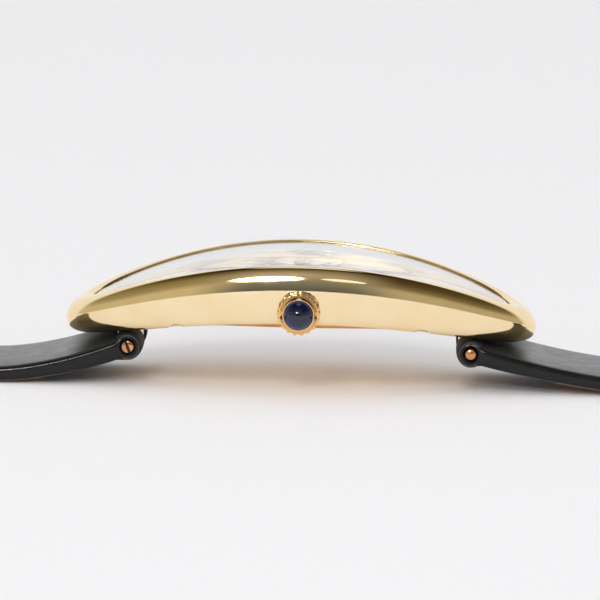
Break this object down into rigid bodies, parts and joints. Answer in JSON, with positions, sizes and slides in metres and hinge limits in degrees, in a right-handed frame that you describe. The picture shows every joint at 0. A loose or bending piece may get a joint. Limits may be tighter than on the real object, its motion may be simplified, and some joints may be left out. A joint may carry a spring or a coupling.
{
  "type": "wristwatch",
  "caption": "Arched elongated-oval dress wristwatch in polished gold with a fluted stone-set crown, screw-bar lugs under the case and black leather straps with a pin buckle.",
  "frame": {"origin": "the middle of the flat land on the outside of the case back, under the centre of the hands", "axes": "+X towards 12 o'clock along the straps, -Y towards the crown, +Z out through the dial and crystal"},
  "size_m": [0.2289, 0.024, 0.0131],
  "materials": {
    "gold": "mirror-polished yellow gold",
    "crystal": "clear polished glass",
    "gasket": "matt black rubber",
    "crystal_gasket": "white moulded ring",
    "stone": "deep blue polished stone",
    "steel": "polished steel",
    "blued_steel": "heat-blued steel",
    "dial": "silvered lacquer, radially brushed",
    "nickel": "nickel plate with fine graining",
    "brass": "gilt brass",
    "ruby": "red synthetic stone",
    "leather": "black smooth calf with painted edges",
    "lining": "tan suede-finish lining",
    "rose_metal": "polished reddish gold"
  },
  "bodies": {
    "case": {"case_band": "gold", "bezel": "gold", "crystal": "crystal", "crystal_gasket": "crystal_gasket", "case_back": "gold", "back_gasket": "gasket", "crown_tube": "gold", "dial": "dial", "movement_ring": "brass", "mainplate": "nickel", "barrel_bridge": "nickel", "train_bridge": "nickel", "balance_cock": "nickel", "bridge_screws": "blued_steel", "jewels": "ruby", "strap_bar_12": "rose_metal", "strap_screw_12": "rose_metal", "strap_bar_6": "rose_metal", "strap_screw_6": "rose_metal"},
    "clutch": {"sliding_pinion": "steel"},
    "crown": {"crown": "gold", "crown_cabochon": "stone", "winding_stem": "steel"},
    "winding_pinion": {"winding_pinion": "steel"},
    "crown_wheel": {"crown_wheel": "steel"},
    "ratchet_wheel": {"ratchet_wheel": "steel"},
    "click": {"click": "steel"},
    "minute_hand": {"minute_hand": "blued_steel", "cannon_pinion": "steel"},
    "hour_hand": {"hour_hand": "blued_steel", "hour_wheel": "brass"},
    "minute_wheel": {"minute_wheel": "brass"},
    "barrel": {"barrel": "brass"},
    "centre_wheel": {"centre_wheel": "brass"},
    "third_wheel": {"third_wheel": "brass"},
    "fourth_wheel": {"fourth_wheel": "brass"},
    "escape_wheel": {"escape_wheel": "steel"},
    "pallet_fork": {"pallet_fork": "steel"},
    "balance": {"balance_wheel": "brass", "hairspring": "blued_steel"},
    "strap_12": {"strap_12_leather": "leather", "strap_12_lining": "lining", "fixed_keeper": "leather", "buckle_spring_bar": "steel"},
    "strap_6": {"strap_6_leather": "leather", "strap_6_lining": "lining"},
    "buckle": {"buckle_frame": "gold"},
    "tongue": {"buckle_tongue": "gold"},
    "free_keeper": {"free_keeper": "leather"}
  },
  "joints": [
    {"name": "crown_turn", "type": "hinge", "parent": "case", "child": "clutch", "pos_m": [0, -0.0042, 0.00175], "axis": [0, -1, 0], "continuous": true},
    {"name": "crown_pull", "type": "slide", "parent": "clutch", "child": "crown", "axis": [0, -1, 0], "range_m": [0, 0.0007]},
    {"name": "winding_pinion_turn", "type": "hinge", "parent": "case", "child": "winding_pinion", "pos_m": [0, -0.0055, 0.00175], "axis": [0, -1, 0], "continuous": true},
    {"name": "crown_wheel_turn", "type": "hinge", "parent": "case", "child": "crown_wheel", "pos_m": [-0.00064, -0.00434, 0.0008], "axis": [0, 0, 1], "continuous": true},
    {"name": "ratchet_turn", "type": "hinge", "parent": "case", "child": "ratchet_wheel", "pos_m": [-0.00389, -0.00142, 0.0008], "axis": [0, 0, 1], "continuous": true},
    {"name": "click_swing", "type": "hinge", "parent": "case", "child": "click", "pos_m": [-0.00454, 0.00228, 0.0008], "axis": [0, 0, 1], "range_deg": [-8, 0], "stiffness_Nm_per_rad": 0.00002, "springref_deg": 2.86},
    {"name": "minute_turn", "type": "hinge", "parent": "case", "child": "minute_hand", "pos_m": [0, 0, 0.004], "axis": [0, 0, 1], "continuous": true},
    {"name": "minute_wheel_turn", "type": "hinge", "parent": "case", "child": "minute_wheel", "pos_m": [0.00068, -0.00255, 0.0032], "axis": [0, 0, 1], "continuous": true},
    {"name": "hour_turn", "type": "hinge", "parent": "case", "child": "hour_hand", "pos_m": [0, 0, 0.004], "axis": [0, 0, 1], "continuous": true},
    {"name": "fourth_wheel_turn", "type": "hinge", "parent": "case", "child": "fourth_wheel", "pos_m": [0.00413, 0.00106, 0.0017], "axis": [0, 0, 1], "continuous": true},
    {"name": "barrel_turn", "type": "hinge", "parent": "case", "child": "barrel", "pos_m": [-0.00389, -0.00142, 0.0017], "axis": [0, 0, 1], "continuous": true},
    {"name": "centre_wheel_turn", "type": "hinge", "parent": "case", "child": "centre_wheel", "pos_m": [0, 0, 0.0017], "axis": [0, 0, 1], "continuous": true},
    {"name": "third_wheel_turn", "type": "hinge", "parent": "case", "child": "third_wheel", "pos_m": [0.00277, -0.00129, 0.0017], "axis": [0, 0, 1], "continuous": true},
    {"name": "escape_wheel_turn", "type": "hinge", "parent": "case", "child": "escape_wheel", "pos_m": [0.00325, 0.0035, 0.0017], "axis": [0, 0, 1], "continuous": true},
    {"name": "pallet_rock", "type": "hinge", "parent": "case", "child": "pallet_fork", "pos_m": [0.00157, 0.00429, 0.0017], "axis": [0, 0, 1], "range_deg": [-5, 5]},
    {"name": "balance_swing", "type": "hinge", "parent": "case", "child": "balance", "pos_m": [-0.0012, 0.0056, 0.0017], "axis": [0, 0, 1], "range_deg": [-150, 150], "stiffness_Nm_per_rad": 0.000001},
    {"name": "strap_12_hinge", "type": "hinge", "parent": "case", "child": "strap_12", "pos_m": [0.017, 0, -0.0027], "axis": [0, 1, 0], "range_deg": [0, 65]},
    {"name": "strap_6_hinge", "type": "hinge", "parent": "case", "child": "strap_6", "pos_m": [-0.017, 0, -0.0027], "axis": [0, -1, 0], "range_deg": [0, 65]},
    {"name": "buckle_hinge", "type": "hinge", "parent": "strap_12", "child": "buckle", "pos_m": [0.092, 0, -0.00485], "axis": [0, -1, 0], "range_deg": [0, 45]},
    {"name": "tongue_hinge", "type": "hinge", "parent": "buckle", "child": "tongue", "pos_m": [0.092, 0, -0.00485], "axis": [0, -1, 0], "range_deg": [0, 75]},
    {"name": "keeper_slide", "type": "slide", "parent": "strap_12", "child": "free_keeper", "axis": [-1, 0, 0], "range_m": [-0.006, 0.012]}
  ],
  "couplings": [
    {"joint": "winding_pinion_turn", "follows": "crown_turn", "ratio": 1},
    {"joint": "crown_wheel_turn", "follows": "crown_turn", "ratio": -0.46667},
    {"joint": "ratchet_turn", "follows": "crown_turn", "ratio": 0.25926},
    {"joint": "minute_wheel_turn", "follows": "minute_turn", "ratio": -0.33333},
    {"joint": "hour_turn", "follows": "minute_turn", "ratio": 0.083333},
    {"joint": "third_wheel_turn", "follows": "fourth_wheel_turn", "ratio": -0.13333},
    {"joint": "centre_wheel_turn", "follows": "fourth_wheel_turn", "ratio": 0.016667},
    {"joint": "barrel_turn", "follows": "fourth_wheel_turn", "ratio": -0.0023148},
    {"joint": "escape_wheel_turn", "follows": "fourth_wheel_turn", "ratio": -8}
  ]
}
